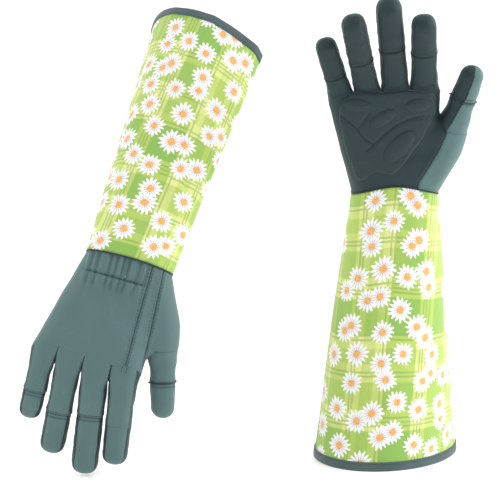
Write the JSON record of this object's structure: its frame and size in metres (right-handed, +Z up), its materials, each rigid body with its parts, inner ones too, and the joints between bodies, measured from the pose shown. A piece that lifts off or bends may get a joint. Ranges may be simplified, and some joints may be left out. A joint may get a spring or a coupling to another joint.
{
  "type": "gardening gloves",
  "caption": "Pair of leather gardening gloves with padded palms and long flared printed fabric cuffs, one standing on its cuff and one resting on its fingertips.",
  "frame": {"origin": "middle of the footprint, on the surface that the gloves stand on", "axes": "+Z up, +X from the reaching glove to the standing glove, the standing glove's palm faces -Y"},
  "size_m": [0.4009, 0.2328, 0.4135],
  "materials": {
    "palm_leather": "matt",
    "back_leather": "matt",
    "gusset_leather": "matt",
    "overlay_leather": "matt",
    "printed_cotton": "printed twill",
    "cuff_lining": "woven",
    "binding_tape": "woven tape",
    "elastic": "knitted elastic"
  },
  "bodies": {
    "standing_cuff": {"standing_cuff_sleeve": "printed_cotton", "standing_cuff_lining": "cuff_lining", "standing_cuff_binding": "binding_tape"},
    "standing_hand": {"standing_palm_panel": "palm_leather", "standing_back_panel": "back_leather", "standing_side_strip": "back_leather", "standing_thumb_saddle": "back_leather", "standing_palm_overlay": "overlay_leather", "standing_palm_pads": "overlay_leather", "standing_wrist_elastic": "elastic"},
    "standing_pinky": {"standing_pinky_front": "palm_leather", "standing_pinky_back": "back_leather", "standing_pinky_gusset": "gusset_leather", "standing_pinky_tip": "palm_leather"},
    "standing_ring": {"standing_ring_front": "palm_leather", "standing_ring_back": "back_leather", "standing_ring_gusset": "gusset_leather", "standing_ring_tip": "palm_leather"},
    "standing_middle": {"standing_middle_front": "palm_leather", "standing_middle_back": "back_leather", "standing_middle_gusset": "gusset_leather", "standing_middle_tip": "palm_leather"},
    "standing_index": {"standing_index_front": "palm_leather", "standing_index_back": "back_leather", "standing_index_gusset": "gusset_leather", "standing_index_tip": "palm_leather"},
    "standing_thumb": {"standing_thumb_front": "palm_leather", "standing_thumb_back": "back_leather", "standing_thumb_tip": "palm_leather"},
    "reaching_cuff": {"reaching_cuff_sleeve": "printed_cotton", "reaching_cuff_lining": "cuff_lining", "reaching_cuff_binding": "binding_tape"},
    "reaching_hand": {"reaching_palm_panel": "palm_leather", "reaching_back_panel": "back_leather", "reaching_side_strip": "back_leather", "reaching_thumb_saddle": "back_leather", "reaching_palm_overlay": "overlay_leather", "reaching_palm_pads": "overlay_leather", "reaching_wrist_elastic": "elastic"},
    "reaching_pinky": {"reaching_pinky_front": "palm_leather", "reaching_pinky_back": "back_leather", "reaching_pinky_gusset": "gusset_leather", "reaching_pinky_tip": "palm_leather"},
    "reaching_ring": {"reaching_ring_front": "palm_leather", "reaching_ring_back": "back_leather", "reaching_ring_gusset": "gusset_leather", "reaching_ring_tip": "palm_leather"},
    "reaching_middle": {"reaching_middle_front": "palm_leather", "reaching_middle_back": "back_leather", "reaching_middle_gusset": "gusset_leather", "reaching_middle_tip": "palm_leather"},
    "reaching_index": {"reaching_index_front": "palm_leather", "reaching_index_back": "back_leather", "reaching_index_gusset": "gusset_leather", "reaching_index_tip": "palm_leather"},
    "reaching_thumb": {"reaching_thumb_front": "palm_leather", "reaching_thumb_back": "back_leather", "reaching_thumb_tip": "palm_leather"}
  },
  "joints": [
    {"name": "standing_wrist", "type": "hinge", "parent": "standing_cuff", "child": "standing_hand", "pos_m": [0.1295, -0.0272, 0.2395], "axis": [1, 0, 0.0087], "range_deg": [-15, 15], "stiffness_Nm_per_rad": 2},
    {"name": "standing_pinky_root", "type": "hinge", "parent": "standing_hand", "child": "standing_pinky", "pos_m": [0.07922, -0.05969, 0.32833], "axis": [0.959, -0.0943, 0.2674], "range_deg": [-10, 60], "stiffness_Nm_per_rad": 0.3},
    {"name": "standing_ring_root", "type": "hinge", "parent": "standing_hand", "child": "standing_ring", "pos_m": [0.10201, -0.06038, 0.33041], "axis": [0.9764, -0.0711, 0.2039], "range_deg": [-10, 60], "stiffness_Nm_per_rad": 0.3},
    {"name": "standing_middle_root", "type": "hinge", "parent": "standing_hand", "child": "standing_middle", "pos_m": [0.12628, -0.0614, 0.33344], "axis": [0.9915, -0.0417, 0.1232], "range_deg": [-10, 60], "stiffness_Nm_per_rad": 0.3},
    {"name": "standing_index_root", "type": "hinge", "parent": "standing_hand", "child": "standing_index", "pos_m": [0.15149, -0.06089, 0.33226], "axis": [0.9962, -0.0268, 0.0824], "range_deg": [-10, 60], "stiffness_Nm_per_rad": 0.3},
    {"name": "standing_thumb_root", "type": "hinge", "parent": "standing_hand", "child": "standing_thumb", "pos_m": [0.1768, -0.05223, 0.297], "axis": [0.968, 0.0885, -0.2348], "range_deg": [-8, 40], "stiffness_Nm_per_rad": 0.3},
    {"name": "reaching_lift", "type": "slide", "parent": "standing_cuff", "child": "reaching_cuff", "axis": [0, 0, 1], "range_m": [0, 0.25]},
    {"name": "reaching_wrist", "type": "hinge", "parent": "reaching_cuff", "child": "reaching_hand", "pos_m": [-0.105, -0.0822, 0.1851], "axis": [0.9613, 0, -0.2756], "range_deg": [-15, 15], "stiffness_Nm_per_rad": 2},
    {"name": "reaching_pinky_root", "type": "hinge", "parent": "reaching_hand", "child": "reaching_pinky", "pos_m": [-0.1782, -0.10195, 0.10942], "axis": [0.968, 0.0054, -0.2509], "range_deg": [-10, 60], "stiffness_Nm_per_rad": 0.3},
    {"name": "reaching_ring_root", "type": "hinge", "parent": "reaching_hand", "child": "reaching_ring", "pos_m": [-0.15682, -0.10237, 0.10125], "axis": [0.9777, 0.0145, -0.2094], "range_deg": [-10, 60], "stiffness_Nm_per_rad": 0.3},
    {"name": "reaching_middle_root", "type": "hinge", "parent": "reaching_hand", "child": "reaching_middle", "pos_m": [-0.13427, -0.10299, 0.09174], "axis": [0.9916, 0.0325, -0.1252], "range_deg": [-10, 60], "stiffness_Nm_per_rad": 0.3},
    {"name": "reaching_index_root", "type": "hinge", "parent": "reaching_hand", "child": "reaching_index", "pos_m": [-0.10964, -0.10268, 0.0862], "axis": [0.9916, 0.0325, -0.1252], "range_deg": [-10, 60], "stiffness_Nm_per_rad": 0.3},
    {"name": "reaching_thumb_root", "type": "hinge", "parent": "reaching_hand", "child": "reaching_thumb", "pos_m": [-0.07605, -0.09122, 0.11264], "axis": [0.9983, 0.0573, -0.0058], "range_deg": [-8, 40], "stiffness_Nm_per_rad": 0.3}
  ]
}
